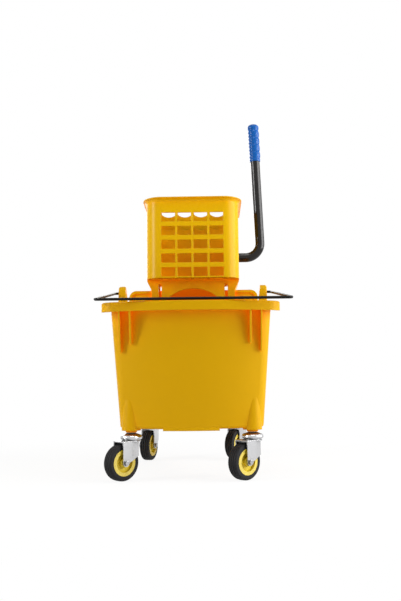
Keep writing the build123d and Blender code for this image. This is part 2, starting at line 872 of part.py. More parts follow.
def biarc(p0, t0, p1, t1):
    """Two arcs from p0 to p1 that leave along t0, meet smoothly and arrive along t1."""
    v = p1 - p0
    t = t0 + t1
    a = 2 * (1 - t0.dot(t1))
    b = v.dot(t)
    reach = v.dot(v) / (2 * b) if a < 1e-9 else (math.sqrt(b * b + a * v.dot(v)) - b) / a
    joint = (p0 + t0 * reach + p1 - t1 * reach) * 0.5
    meet = (p1 - t1 * reach - p0 - t0 * reach).normalized()
    return [TangentArc(p0, joint, tangent=t0), TangentArc(joint, p1, tangent=meet)]


def coil_place(x, y0, turn):
    """A point of a spring's helix and its direction, after some turns from the crown."""
    angle = 2 * math.pi * turn
    rise = spring_pitch / (2 * math.pi * coil_radius)
    point = Vector(
        x + coil_radius * math.sin(angle), y0 + spring_pitch * turn, spring_z + coil_radius * math.cos(angle)
    )
    return point, Vector(math.cos(angle), rise, -math.sin(angle)).normalized()


def return_spring(x):
    """An extension spring from the plate's pin to the basket's pin, with a hook at each end."""
    crown = spring_z + coil_radius
    base = spring_z - coil_radius
    along = Vector(0, 1, 0)
    middle = (plate_pin_y + basket_pin_y) / 2
    y0 = middle - spring_pitch * spring_turns / 2
    front_neck = Vector(x, y0 + spring_pitch / 4 - spring_neck, crown)
    rear_neck = Vector(x, y0 + spring_pitch * (spring_turns - 0.25) + spring_neck, crown)
    path = [
        Line((x, plate_pin_y + spring_wire, base), (x, plate_pin_y, base)),
        ThreePointArc(
            (x, plate_pin_y, base), (x, plate_pin_y - coil_radius, spring_z), (x, plate_pin_y, crown)
        ),
        Line((x, plate_pin_y, crown), front_neck),
    ]
    place, way = front_neck, along
    for quarter in range(1, 4 * spring_turns):
        point, toward = coil_place(x, y0, quarter / 4)
        path += biarc(place, way, point, toward)
        place, way = point, toward
    path += biarc(place, way, rear_neck, along)
    path += [
        Line(rear_neck, (x, basket_pin_y, crown)),
        ThreePointArc(
            (x, basket_pin_y, crown), (x, basket_pin_y + coil_radius, spring_z), (x, basket_pin_y, base)
        ),
        Line((x, basket_pin_y, base), (x, basket_pin_y - spring_wire, base)),
    ]
    wire = Wire(path)
    section = Plane(wire @ 0, z_dir=wire % 0) * Circle(spring_wire / 2)
    return sweep(section, wire)


def spring_gap():
    """The least gap between a spring's turns, measured on points of its helix."""
    per_turn = 48
    points = [coil_place(0, 0, i / per_turn)[0] for i in range(3 * per_turn)]
    apart = [
        (a - b).length
        for i, a in enumerate(points)
        for b in points[i + per_turn // 2:]
    ]
    return min(apart) - spring_wire


def spring_pins(y):
    """Pins across a pair of spring lugs."""
    half = coil_radius + spring_wire + lug_wall
    return [rod_x(pin_radius, x - half, x + half, y, spring_z) for x in (-spring_x, spring_x)]


def fork():
    """A caster's fork at the origin: crown with a ball race, two creased legs, trailing to -X."""
    tail = -caster_trail - leg_tail
    leg_front = -caster_trail + leg_tail
    outer = fork_gap / 2 + fork_wall
    crease = -caster_trail + leg_crease
    side = [
        Polyline(
            (tail, fork_crown_top), (leg_nose, fork_crown_top), (leg_nose, leg_nose_low),
            (crease, wheel_radius + leg_tail / 2), (leg_front, wheel_radius),
        ),
        ThreePointArc(
            (leg_front, wheel_radius), (-caster_trail, wheel_radius - leg_tail), (tail, wheel_radius)
        ),
        Line((tail, wheel_radius), (tail, fork_crown_top)),
    ]
    face = make_face([e for part in side for e in part.edges()])
    profile = Pos(0, 2 * outer, 0) * extrude(Plane.XZ * face, 4 * outer)
    half = [(tail, outer), (crease, outer), (leg_nose, outer - leg_pinch)]
    strip = make_face(Polyline(*half, *[(x, y - fork_wall) for x, y in half[::-1]], close=True))
    leg = extrude(strip, fork_crown_top) & profile
    plan = make_face(Polyline(*half, *[(x, -y) for x, y in half[::-1]], close=True))
    crown = Pos(0, 0, fork_crown_under) * extrude(plan, fork_wall)
    crown += rod_z(fork_crown_radius, fork_crown_under, fork_crown_top)
    body = crown + leg + mirror(leg, Plane.XZ)
    body += rod_z(race_out, fork_crown_top, race_top)
    body -= rod_z(king_radius + running_gap, fork_crown_under, race_top)
    groove = Pos(0, 0, ball_z) * Torus(ball_ring, ball_radius + running_gap)
    axle = Pos(-caster_trail, 0, wheel_radius) * Rot(90, 0, 0)
    bore = axle * Cylinder(axle_radius + running_gap, 4 * outer)
    return body - groove - bore


def cup():
    """The fixed upper race: a pressed dome over the balls."""
    bend = ThreePointArc(
        (cup_radius, cup_under), (cup_bulge, (cup_under + cup_shoulder) / 2),
        (cup_shoulder_radius, cup_shoulder),
    )
    bore = king_radius + running_gap
    inner = cup_radius - fork_wall
    rest = Polyline(
        (cup_shoulder_radius, cup_shoulder), (collar_radius, cup_top), (bore, cup_top), (bore, cup_ceiling),
        (inner, cup_ceiling), (inner, cup_under), (cup_radius, cup_under),
    )
    body = revolve(Plane.XZ * make_face([bend, *rest.edges()]), Axis.Z)
    return body - Pos(0, 0, ball_z) * Torus(ball_ring, ball_radius + running_gap)


def king_pin():
    """Head, pin and stem in one: it carries the fork and is pressed into the tub's socket."""
    head_top = fork_crown_under - seat_gap
    body = rod_z(king_head, head_top - king_head_height, head_top)
    body += rod_z(king_radius, head_top, cup_top)
    body += rod_z(collar_radius, cup_top, socket_under)
    return body + rod_z(stem_radius, socket_under, socket_under + stem_length)


def balls():
    """The ring of bearing balls between fork and cup."""
    step = 2 * math.pi / ball_count
    return [
        Pos(ball_ring * math.cos(i * step), ball_ring * math.sin(i * step), ball_z) * Sphere(ball_radius)
        for i in range(ball_count)
    ]


def on_axle(profile):
    """A profile of radius and width, turned about the wheel's axle."""
    body = revolve(Plane.XZ * profile, Axis.Z)
    return Pos(-caster_trail, 0, wheel_radius) * Rot(90, 0, 0) * body


def wheel_hub():
    """The moulded wheel: outer ring, dished web and nave."""
    ring = hub_radius - hub_ring
    bore = sleeve_radius + running_gap
    dish = tyre_half - hub_dish
    outline = Polyline(
        (bore, -hub_half), (hub_nave, -hub_half), (hub_nave, -dish), (ring, -dish), (ring, -tyre_half),
        (hub_radius, -tyre_half), (hub_radius, tyre_half), (ring, tyre_half), (ring, dish), (hub_nave, dish),
        (hub_nave, hub_half), (bore, hub_half), close=True,
    )
    return on_axle(make_face(outline))


def tyre():
    """The rubber tread band, with rounded shoulders."""
    inner = hub_radius + running_gap
    face = Pos((inner + wheel_radius) / 2, 0) * Rectangle(wheel_radius - inner, 2 * tyre_half)
    face = fillet(face.vertices().group_by(Axis.X)[-1], tyre_shoulder)
    return on_axle(face)


def sleeve():
    """The steel sleeve between the fork's legs, on which the wheel turns."""
    half = fork_gap / 2 - running_gap
    outline = Rectangle(sleeve_radius - axle_radius - running_gap, 2 * half)
    return on_axle(Pos((sleeve_radius + axle_radius + running_gap) / 2, 0) * outline)


def axle_bolt():
    """The axle bolt, with its head on the wheel's outer side."""
    face = fork_gap / 2 + fork_wall
    along = Pos(-caster_trail, 0, wheel_radius) * Rot(90, 0, 0)
    shank = along * rod_z(axle_radius, -face - axle_nut, face)
    return shank + along * Pos(0, 0, face) * extrude(hexagon(axle_head_flats), axle_head)


def axle_lock_nut():
    """The nut on the axle's inner end."""
    face = fork_gap / 2 + fork_wall
    along = Pos(-caster_trail, 0, wheel_radius) * Rot(90, 0, 0)
    nut = Pos(0, 0, -face - axle_nut) * extrude(hexagon(axle_nut_flats), axle_nut)
    return along * (nut - rod_z(axle_radius + running_gap, -face - 2 * axle_nut, face))


def caster(name, turn, place):
    """All the pieces of one caster, turned about its swivel and set under its socket."""
    pieces = {
        "king_pin": king_pin(),
        "cup": cup(),
        "balls": balls(),
        "fork": fork(),
        "axle_bolt": axle_bolt(),
        "axle_nut": axle_lock_nut(),
        "sleeve": sleeve(),
        "hub": wheel_hub(),
        "tyre": tyre(),
    }
    at = Pos(*place, 0) * Rot(0, 0, turn)
    placed = {}
    for piece, shape in pieces.items():
        solids = shape if isinstance(shape, list) else [shape]
        placed[f"caster_{name}_{piece}"] = [at * solid for solid in solids]
    return placed


def all_nodes():
    """Every node's name and its solids."""
    nodes = {
        "tub": tub(),
        "bail": bail(),
        "wringer_base": wringer_base(),
        "wringer_basket": wringer_basket(),
        "basket_screws": basket_screws(),
        "press_plate": press_plate(),
        "lever_tube": lever_tube(),
        "lever_grip": lever_grip(),
        "shaft_bush_left": shaft_bush(-1),
        "shaft_bush_right": shaft_bush(1),
        "shaft_end_cap": shaft_end_cap(),
        "cam_left": cam(-1),
        "cam_right": cam(1),
        "cam_bolts": cam_bolts(),
        "cam_nuts": cam_nuts(),
        "return_spring_left": return_spring(-spring_x),
        "return_spring_right": return_spring(spring_x),
        "plate_spring_pins": spring_pins(plate_pin_y),
        "basket_spring_pins": spring_pins(basket_pin_y),
    }
    for name, place in swivel_points().items():
        nodes.update(caster(name, caster_turns[name], place))
    return nodes


def write_nodes():
    """One STEP file for each node."""
    os.makedirs("parts", exist_ok=True)
    for name, shape in all_nodes().items():
        solids = shape if isinstance(shape, list) else [shape]
        solids = [solid for part in solids for solid in part.solids()]
        whole = solids[0] if len(solids) == 1 else Compound(children=solids)
        export_step(whole, f"parts/{name}.step")


print("least gap between a spring's turns", round(spring_gap(), 3))
print("press plate travel", round(cam_travel, 2))
write_nodes()
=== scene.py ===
# %% [markdown]
# # A mop bucket with a wringer
# The bucket, its wringer and its four casters come from a packed engineering model, and every piece here
# sits in that model's frame: metres, up along Z, the front towards -Y, the lever on the +X side.
# This lesson dresses the model: a camera, a studio, finishes built from nodes, and a few pieces that look
# better as worked-out surfaces than as plain solids.

# %% Load the frame
import json
import math

import bmesh
import bpy
import numpy as np
from mathutils import Matrix


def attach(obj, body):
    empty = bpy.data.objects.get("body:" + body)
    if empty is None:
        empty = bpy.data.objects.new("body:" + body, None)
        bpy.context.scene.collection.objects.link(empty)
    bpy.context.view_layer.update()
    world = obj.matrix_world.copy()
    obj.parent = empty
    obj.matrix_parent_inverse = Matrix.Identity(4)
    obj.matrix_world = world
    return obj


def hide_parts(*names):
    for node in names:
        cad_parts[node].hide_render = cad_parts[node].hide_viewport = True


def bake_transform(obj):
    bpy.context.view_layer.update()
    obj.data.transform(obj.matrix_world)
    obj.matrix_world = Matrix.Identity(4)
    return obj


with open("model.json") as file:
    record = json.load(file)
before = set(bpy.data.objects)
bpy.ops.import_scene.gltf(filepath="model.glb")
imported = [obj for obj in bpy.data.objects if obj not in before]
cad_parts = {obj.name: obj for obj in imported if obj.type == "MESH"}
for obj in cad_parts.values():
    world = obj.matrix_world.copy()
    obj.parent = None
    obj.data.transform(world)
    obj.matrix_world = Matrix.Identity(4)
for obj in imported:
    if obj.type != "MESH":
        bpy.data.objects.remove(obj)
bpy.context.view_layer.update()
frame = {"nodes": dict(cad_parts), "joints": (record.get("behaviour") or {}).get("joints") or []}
nodes = frame["nodes"]
joints = {joint["name"]: joint for joint in frame["joints"]}

# %% [markdown]
# ## The camera
# The photograph was taken from the front, a little right of the middle, low down and tilted slightly up.
# A camera can be aimed with a constraint, but the tilt and the small roll of this view are known numbers.
# So the camera's matrix is put together from its right, up and backward directions.

# %% Camera
eye = np.array([0.0471, -1.7137, 0.2268])
tilt_up, turn_left, roll = (math.radians(a) for a in (5.62, 0.965, 0.607))
lens_mm = 42.84
ahead = np.array([
    -math.sin(turn_left) * math.cos(tilt_up),
    math.cos(turn_left) * math.cos(tilt_up),
    math.sin(tilt_up),
])
level = np.array([math.cos(turn_left), math.sin(turn_left), 0.0])
above = np.cross(level, ahead)
right = math.cos(roll) * level - math.sin(roll) * above
up = math.sin(roll) * level + math.cos(roll) * above


def axes_at(side, top, back, place):
    """The matrix whose columns are three directions and a place."""
    return Matrix([[side[i], top[i], back[i], place[i]] for i in range(3)] + [[0, 0, 0, 1]])


camera_data = bpy.data.cameras.new("photo_camera")
camera_data.lens = lens_mm
camera = bpy.data.objects.new("photo_camera", camera_data)
bpy.context.collection.objects.link(camera)
camera.matrix_world = axes_at(right, up, -ahead, eye)
bpy.context.scene.camera = camera
print("camera", [round(v, 3) for v in eye], "lens", lens_mm, "mm")

# %% [markdown]
# ## Sums with sockets
# A finish is a small sum: a base, plus some noise, minus some wear. Nodes can be placed by hand in the
# editor, but a sum reads best as a sum, so one class wraps an output socket and adds a Math node for each
# operator. Every other kind of node comes from its one method.

# %% Socket arithmetic
class Flow:
    """An output socket that takes part in sums; each operator adds one Math node."""

    def __init__(self, tree, socket=None):
        self.tree = tree
        self.socket = socket

    def node(self, kind, settings=None, inputs=None, out=0):
        """Adds a node, sets its settings, then feeds its inputs with values or flows; gives one output."""
        made = self.tree.nodes.new(kind)
        for name, value in (settings or {}).items():
            setattr(made, name, value)
        for name, value in (inputs or {}).items():
            if isinstance(value, Flow):
                self.tree.links.new(value.socket, made.inputs[name])
            else:
                made.inputs[name].default_value = value
        return Flow(self.tree, made.outputs[out])

    def sum(self, operation, first, second):
        """One Math node that works on two numbers or flows."""
        return self.node("ShaderNodeMath", {"operation": operation}, {0: first, 1: second})

    def __add__(self, other):
        return self.sum("ADD", self, other)

    def __sub__(self, other):
        return self.sum("SUBTRACT", self, other)

    def __rsub__(self, other):
        return self.sum("SUBTRACT", other, self)

    def __mul__(self, other):
        return self.sum("MULTIPLY", self, other)

    __radd__ = __add__
    __rmul__ = __mul__

    def clamp(self, low=0.0, high=1.0):
        """The flow kept between two numbers."""
        return self.sum("MINIMUM", self.sum("MAXIMUM", self, low), high)

    def tint(self, shade, other):
        """A colour that goes from shade to other as this flow goes from 0 to 1."""
        return self.node("ShaderNodeMix", {"data_type": "RGBA"}, {0: self, 6: shade, 7: other}, out=2)


print("a flow can", [name for name in vars(Flow) if not name.startswith("__")])

# %% [markdown]
# ## From sums to a material
# A new material comes with one Principled shader. What changes over the surface is linked to its sockets,
# and what is the same all over is written on the socket itself. It could be wired up for each finish anew,
# but a helper that takes both kinds by socket name leaves only the sums to write.

# %% Materials
def paint(name, build):
    """A material whose shader sockets are set by build(flow), which returns {socket: value or flow}."""
    material = bpy.data.materials.new(name)
    material.use_nodes = True
    tree = material.node_tree
    shader = next(n for n in tree.nodes if n.type == "BSDF_PRINCIPLED")
    for socket, value in build(Flow(tree)).items():
        if isinstance(value, Flow):
            tree.links.new(value.socket, shader.inputs[socket])
        else:
            shader.inputs[socket].default_value = value
    return material


def rgb(red, green, blue):
    """A colour for a socket: red, green, blue, and an alpha of 1."""
    return (red, green, blue, 1.0)


print("helpers", paint.__name__, rgb.__name__)

# %% [markdown]
# ## The studio
# The photograph shows the bucket on plain white. A white room could be modelled, but a pale floor, an even
# white sky and a few soft lamps give the same light with nothing to hide. Light Path tells the floor and
# the sky when the camera or a mirror-like surface looks at them; they answer with white, while the light
# they shed on the bucket stays at a plain level. Near the bucket the floor answers with less white, so that
# the shadow under it is kept, and further off it fades into the sky.

# %% Floor
floor_half, floor_grey = 9.0, 0.82
white_at_middle, white_per_metre, least_white = 0.70, 0.35, 0.90


def seen(flow):
    """1 where the camera, a reflection or a clear material looks, else 0."""
    path = [flow.node("ShaderNodeLightPath", out=name) for name in (
        "Is Camera Ray", "Is Glossy Ray", "Is Transmission Ray")]
    return (path[0] + path[1] + path[2]).clamp()


def flat_square(name, half, height):
    """Four corners at one height, joined by one face."""
    mesh = bpy.data.meshes.new(name)
    corners = [(-half, -half, height), (half, -half, height), (half, half, height), (-half, half, height)]
    mesh.from_pydata(corners, [], [(0, 1, 2, 3)])
    square = bpy.data.objects.new(name, mesh)
    bpy.context.collection.objects.link(square)
    return square


floor = flat_square("studio_floor", floor_half, 0.0)
floor_paint = bpy.data.materials.new("studio_floor")
floor_paint.use_nodes = True
flow = Flow(floor_paint.node_tree)
chalk = flow.node("ShaderNodeBsdfDiffuse", {}, {"Color": rgb(floor_grey, floor_grey, floor_grey)})
blank = flow.node("ShaderNodeEmission", {}, {"Color": rgb(1, 1, 1), "Strength": 1.0})
spot = flow.node("ShaderNodeTexCoord", out="Object")
far = flow.node("ShaderNodeVectorMath", {"operation": "LENGTH"}, {0: spot}, out="Value")
white = (far * white_per_metre + white_at_middle).clamp(least_white, 1.0)
ground = flow.node("ShaderNodeMixShader", {}, {0: seen(flow) * white, 1: chalk, 2: blank})
floor_out = next(n for n in flow.tree.nodes if n.type == "OUTPUT_MATERIAL")
flow.tree.links.new(ground.socket, floor_out.inputs["Surface"])
floor.data.materials.append(floor_paint)
print("floor", 2 * floor_half, "m wide")

# %% [markdown]
# The sky stands for the studio's walls. A picture of a room could light the bucket, but the photograph's
# light is even, so one level will do: full white where the sky is looked at, and a low level where it sheds
# light. The view transform is Standard, so that colours come out about as they are written.

# %% Sky
sky_level = 0.17
sky = bpy.data.worlds.new("studio_sky")
bpy.context.scene.world = sky
sky.use_nodes = True
sky_shader = next(n for n in sky.node_tree.nodes if n.type == "BACKGROUND")
sky_shader.inputs["Color"].default_value = rgb(1, 1, 1)
strength = seen(Flow(sky.node_tree)) * (1 - sky_level) + sky_level
sky.node_tree.links.new(strength.socket, sky_shader.inputs["Strength"])
bpy.context.scene.view_settings.view_transform = "Standard"
print("sky sheds", sky_level)

# %% [markdown]
# ## The lamps
# In the photograph the front is even, both flanks are brighter, and the right one is the brightest. One
# large lamp in front would flatten that, so two soft boxes stand at the sides, a narrow one fills the front
# right corner, one hangs above and one lights the rear, which the photograph doesn't show. Area lamps make
# the soft edges of a studio's boxes.

# %% Lamps
waist = (0, 0, 0.4)


def softbox(name, place, target, wide, tall, power):
    """A lamp with a flat face, wide and tall in metres, at a place and turned to look at a target."""
    data = bpy.data.lights.new(name, "AREA")
    data.shape, data.size, data.size_y, data.energy = "RECTANGLE", wide, tall, power
    lamp = bpy.data.objects.new(name, data)
    bpy.context.collection.objects.link(lamp)
    away = np.array(place, float) - np.array(target, float)
    away /= np.linalg.norm(away)
    side = np.cross((0, 0, 1), away)
    side /= np.linalg.norm(side)
    lamp.matrix_world = axes_at(side, np.cross(away, side), away, place)
    return lamp


lamps = [
    softbox("lamp_right", (2.1, -0.35, 1.0), waist, wide=1.6, tall=1.6, power=64),
    softbox("lamp_key", (1.9, -1.3, 1.0), waist, wide=0.6, tall=1.4, power=15),
    softbox("lamp_left", (-2.1, -0.9, 1.0), waist, wide=0.5, tall=1.2, power=44),
    softbox("lamp_top", (0.2, -0.8, 2.5), (0, 0.05, 0.4), wide=1.0, tall=1.0, power=16),
    softbox("lamp_back", (-0.5, 2.3, 1.1), waist, wide=1.6, tall=1.4, power=26),
]
print("lamps", {lamp.name: lamp.data.energy for lamp in lamps})

# %% [markdown]
# ## What finishes are made of
# Every finish reads Object coordinates, so its grain is a real size on the piece: object space here is the
# model's own metres. No real surface is quite even or quite sharp. Noise breaks up colour and gloss, a
# Bevel node rounds the edges in the shading alone, and an Ambient Occlusion node finds the hollows, which
# are given painted shade, and in the yellow plastic painted orange light. Edges could be cut into the mesh,
# but the solids keep their own meshes here.

# %% Grain, rounding and hollows
def grain(flow, scale, detail):
    """Noise of about scale waves to the metre; detail adds finer waves."""
    place = flow.node("ShaderNodeTexCoord", out="Object")
    return flow.node("ShaderNodeTexNoise", {}, {"Vector": place, "Scale": scale, "Detail": detail})


def rounded(flow, radius):
    """The surface's direction, as if its edges were rounded to a radius in metres."""
    return flow.node("ShaderNodeBevel", {"samples": 6}, {"Radius": radius})


def edges(flow, soft, gain=4):
    """0 on flat faces, up to 1 on the rounding of an edge, where soft turns away from the face."""
    face = flow.node("ShaderNodeNewGeometry", out="Normal")
    same = flow.node("ShaderNodeVectorMath", {"operation": "DOT_PRODUCT"}, {0: soft, 1: face}, out="Value")
    return ((1 - same) * gain).clamp()


def hollow(flow, reach, gain):
    """0 in the open, towards 1 where walls nearer than reach stand round the spot."""
    open_sky = flow.node("ShaderNodeAmbientOcclusion", {"samples": 8}, {"Distance": reach}, out="AO")
    return ((1 - open_sky) * gain).clamp()


def relief(flow, height, depth, soft):
    """Small bumps of a depth in metres on a rounded surface."""
    return flow.node("ShaderNodeBump", {}, {"Height": height, "Distance": depth, "Normal": soft})


print("helpers", [part.__name__ for part in (grain, rounded, edges, hollow, relief)])

# %% [markdown]
# ## Plastics
# Moulded plastic is never one colour: the pigment drifts a little, the mould's texture breaks up the gloss,
# and rounded edges are made paler, a painted highlight. The bucket's yellow also lets light through: in a
# hollow, light that has passed from wall to wall comes out deep orange. Real scattering would show it, but
# slowly and with much noise. So the hollows are tinted instead, with painted light and shade, and the deep
# ones give off a faint painted glow, which stands for the light that gets in through the walls.

# %% Moulded plastic
def moulded(shade, deep, painted_hollow_colour, gloss, peel, edge, reach=0.08, gain=1.3, shine=0.12, painted_glow_colour=None):
    """Moulded plastic: pigment drifts from shade to deep, hollows take the hollow colour, rounded edges are
    paler.

    gloss is the roughness, peel the depth of the mould's texture and edge the radius of edges, in metres.
    Hollows are found as far as reach, in metres, and strengthened by gain; the hollow colour is painted light
    and shade. The glow colour is a painted light that comes out of the deep ones; it grows with the cube of
    the hollow. The paler edges are a painted highlight.
    """
    def build(flow):
        drift = grain(flow, scale=5.0, detail=3.0)
        mottle = grain(flow, scale=140.0, detail=2.0)
        fine = grain(flow, scale=900.0, detail=1.0)
        soft = rounded(flow, edge)
        pigment = (drift * 0.7 + mottle * 0.3).tint(shade, deep)
        # Hollows are tinted towards the hollow colour: painted light and shade.
        closed = hollow(flow, reach, gain)
        body = closed.tint(pigment, painted_hollow_colour)
        # Rounded edges are tinted paler: a painted highlight.
        pale = rgb(*(min(1.0, part * 1.10 + 0.01) for part in shade[:3]))
        painted_edge_highlight = edges(flow, soft) * 0.4
        sockets = {
            "Base Color": painted_edge_highlight.tint(body, pale),
            "Roughness": gloss + (mottle - 0.5) * 0.08 + (fine - 0.5) * 0.05,
            "Normal": relief(flow, fine + mottle, peel, soft),
            "Specular IOR Level": shine,
        }
        # A painted glow: the deep hollows give off light though they are no lamp.
        if painted_glow_colour:
            sockets["Emission Color"] = (closed * closed * closed).tint(rgb(0, 0, 0), painted_glow_colour)
            sockets["Emission Strength"] = 1.0
        return sockets
    return build


# The third colour of each yellow is painted light and shade in its hollows; the glow colour is a painted
# glow.
wringer_painted_hollow = rgb(0.97, 0.34, 0.001)
tub_yellow = paint("tub_yellow", moulded(
    rgb(0.565, 0.305, 0.001), rgb(0.525, 0.284, 0.001), rgb(0.84, 0.28, 0.001),
    gloss=0.42, peel=0.00005, edge=0.0016, shine=0.06, painted_glow_colour=rgb(0.13, 0.026, 0)))
wringer_yellow = paint("wringer_yellow", moulded(
    rgb(0.63, 0.362, 0.001), rgb(0.59, 0.340, 0.001), wringer_painted_hollow,
    gloss=0.28, peel=0.00002, edge=0.0016, gain=1.8, shine=0.09, painted_glow_colour=rgb(0.32, 0.100, 0)))
base_yellow = paint("base_yellow", moulded(
    rgb(0.64, 0.375, 0.001), rgb(0.60, 0.353, 0.001), wringer_painted_hollow,
    gloss=0.28, peel=0.00002, edge=0.0016, reach=0.20, gain=1.4, shine=0.09, painted_glow_colour=rgb(0.36, 0.066, 0)))
plate_yellow = paint("plate_yellow", moulded(
    rgb(0.78, 0.42, 0.001), rgb(0.74, 0.39, 0.001), rgb(0.80, 0.46, 0.001),
    gloss=0.32, peel=0.00002, edge=0.0010, reach=0.12, gain=1.7))
print("yellows", [m.name for m in (tub_yellow, wringer_yellow, base_yellow, plate_yellow)])

# %% [markdown]
# ## Small plastic pieces
# The wheel hubs are a paler yellow, the grip is blue, and the bushes, the end cap and the cams are plain
# working plastics. They are moulded as the bucket is, so only the numbers change; none of them glows. Their
# edges and hollows are small, so they reach less far.

# %% Small plastics
# The third colour of each small plastic is painted shade in its hollows.
hub_yellow = paint("hub_yellow", moulded(
    rgb(0.62, 0.50, 0.11), rgb(0.57, 0.45, 0.09), rgb(0.62, 0.46, 0.002),
    gloss=0.38, peel=0.00003, edge=0.0008, reach=0.012, gain=1.6))
grip_blue = paint("grip_blue", moulded(
    rgb(0.003, 0.085, 0.33), rgb(0.003, 0.070, 0.28), rgb(0.002, 0.040, 0.19),
    gloss=0.26, peel=0.00001, edge=0.0006, reach=0.006, shine=0.18))
nylon_white = paint("nylon_white", moulded(
    rgb(0.70, 0.69, 0.64), rgb(0.64, 0.63, 0.57), rgb(0.45, 0.40, 0.28),
    gloss=0.42, peel=0.00003, edge=0.0006))
cap_black = paint("cap_black", moulded(
    rgb(0.016, 0.016, 0.017), rgb(0.011, 0.011, 0.012), rgb(0.006, 0.006, 0.006),
    gloss=0.45, peel=0.00004, edge=0.0006))
cam_grey = paint("cam_grey", moulded(
    rgb(0.17, 0.17, 0.18), rgb(0.13, 0.13, 0.14), rgb(0.08, 0.07, 0.05),
    gloss=0.45, peel=0.00003, edge=0.0006))
print("small plastics", [m.name for m in (hub_yellow, grip_blue, nylon_white, cap_black, cam_grey)])

# %% [markdown]
# ## Metals
# Zinc plate is a grey metal with faint clouds; in its recesses it is less glossy and darkened with painted
# shade. The lever and the bail are black: powder coat has a low peel like an orange's skin. Each could be one
# colour and one gloss value, but under soft lamps it is the unevenness that tells them apart.

# %% Metals
def plated(shade, dull, painted_recess_shade, gloss, edge):
    """Zinc plate: grey metal that clouds from shade to dull, with painted shade and less gloss in its
    recesses.
    """
    def build(flow):
        cloud = grain(flow, scale=45.0, detail=3.0)
        fine = grain(flow, scale=700.0, detail=2.0)
        # Recesses are darkened with painted shade and made less glossy.
        recess = hollow(flow, reach=0.014, gain=1.3)
        metal = (cloud * 0.8 + fine * 0.2).tint(shade, dull)
        return {
            "Base Color": recess.tint(metal, painted_recess_shade),
            "Metallic": 1.0,
            "Roughness": gloss + (cloud - 0.5) * 0.16 + (fine - 0.5) * 0.08 + recess * 0.2,
            "Normal": relief(flow, cloud + fine * 0.3, 0.00008, rounded(flow, edge)),
        }
    return build


def coated(shade, dull, gloss, edge, shine):
    """Black powder coat: a dark body that drifts from shade to dull, with a low orange peel."""
    def build(flow):
        peel = grain(flow, scale=420.0, detail=2.0)
        drift = grain(flow, scale=18.0, detail=2.0)
        return {
            "Base Color": drift.tint(shade, dull),
            "Roughness": gloss + (drift - 0.5) * 0.12,
            "Normal": relief(flow, peel, 0.00006, rounded(flow, edge)),
            "Specular IOR Level": shine,
        }
    return build


# The third colour of each plated finish is the painted shade of its recesses.
zinc = paint("zinc_plate", plated(
    rgb(0.66, 0.66, 0.67), rgb(0.50, 0.50, 0.51), rgb(0.10, 0.10, 0.10), gloss=0.20, edge=0.0007))
zinc_small = paint("zinc_fasteners", plated(
    rgb(0.44, 0.44, 0.45), rgb(0.34, 0.34, 0.35), rgb(0.07, 0.07, 0.07), gloss=0.27, edge=0.0004))
spring_wire = paint("spring_wire", plated(
    rgb(0.60, 0.60, 0.62), rgb(0.48, 0.48, 0.50), rgb(0.12, 0.12, 0.12), gloss=0.30, edge=0.0003))
lever_black = paint("lever_black", coated(
    rgb(0.006, 0.005, 0.005), rgb(0.010, 0.009, 0.008), gloss=0.14, edge=0.0006, shine=0.28))
bail_black = paint("bail_black", coated(
    rgb(0.006, 0.005, 0.004), rgb(0.010, 0.008, 0.007), gloss=0.38, edge=0.0004, shine=0.10))
print("metals", [m.name for m in (zinc, zinc_small, spring_wire, lever_black, bail_black)])

# %% [markdown]
# ## Rubber
# The tyres are nearly black, dull and a little dusty. Dust could be painted by hand, but it lies in soft
# patches, so squared noise places it: squaring keeps most of the tyre clean.

# %% Rubber
def vulcanised(shade, dusty):
    """Rubber: dust in patches takes it from shade to dusty, over a fine dull grain."""
    def build(flow):
        dust = grain(flow, scale=60.0, detail=4.0)
        fine = grain(flow, scale=1100.0, detail=2.0)
        return {
            "Base Color": (dust * dust * 1.4).clamp().tint(shade, dusty),
            "Roughness": 0.66 + (dust - 0.5) * 0.2,
            "Normal": flow.node("ShaderNodeBump", {}, {"Height": fine, "Distance": 0.00008}),
            "Specular IOR Level": 0.18,
        }
    return build


tyre_rubber = paint("tyre_rubber", vulcanised(rgb(0.006, 0.006, 0.007), rgb(0.017, 0.016, 0.016)))
print("rubber", tyre_rubber.name)

# %% [markdown]
# ## Dressing the solids
# Each solid arrives with a plain material. It could be given a finish by hand, but the names say what the
# pieces are, so a table does it. Whatever isn't in a table is a plated screw, pin, nut or ball.

# %% Dress the solids
caster_finishes = {"hub": hub_yellow, "tyre": tyre_rubber, "fork": zinc, "cup": zinc}
finishes = {
    "tub": tub_yellow,
    "bail": bail_black,
    "wringer_base": base_yellow,
    "wringer_basket": wringer_yellow,
    "press_plate": plate_yellow,
    "lever_tube": lever_black,
    "lever_grip": grip_blue,
    "shaft_bush_left": nylon_white,
    "shaft_bush_right": nylon_white,
    "shaft_end_cap": cap_black,
    "cam_left": cam_grey,
    "cam_right": cam_grey,
    "return_spring_left": spring_wire,
    "return_spring_right": spring_wire,
}


def finish_for(name):
    """The finish of a solid, by its own name; a caster's piece is named after the caster's corner."""
    if name.startswith("caster_"):
        return caster_finishes.get(name.split("_", 3)[3], zinc_small)
    return finishes.get(name, zinc_small)


for name, solid in nodes.items():
    solid.data.materials.clear()
    solid.data.materials.append(finish_for(name))
print("dressed", len(nodes))

# %% [markdown]
# ## Skins over rings
# A tyre, a grip and a spring are all rings of points carried along something: round an axle, up a lever,
# along a bent wire. So one helper takes an array of rings and closes it into a mesh. The points are worked
# out as whole arrays, and only the finished lists go to Blender.

# %% Skin
crease = math.radians(50)


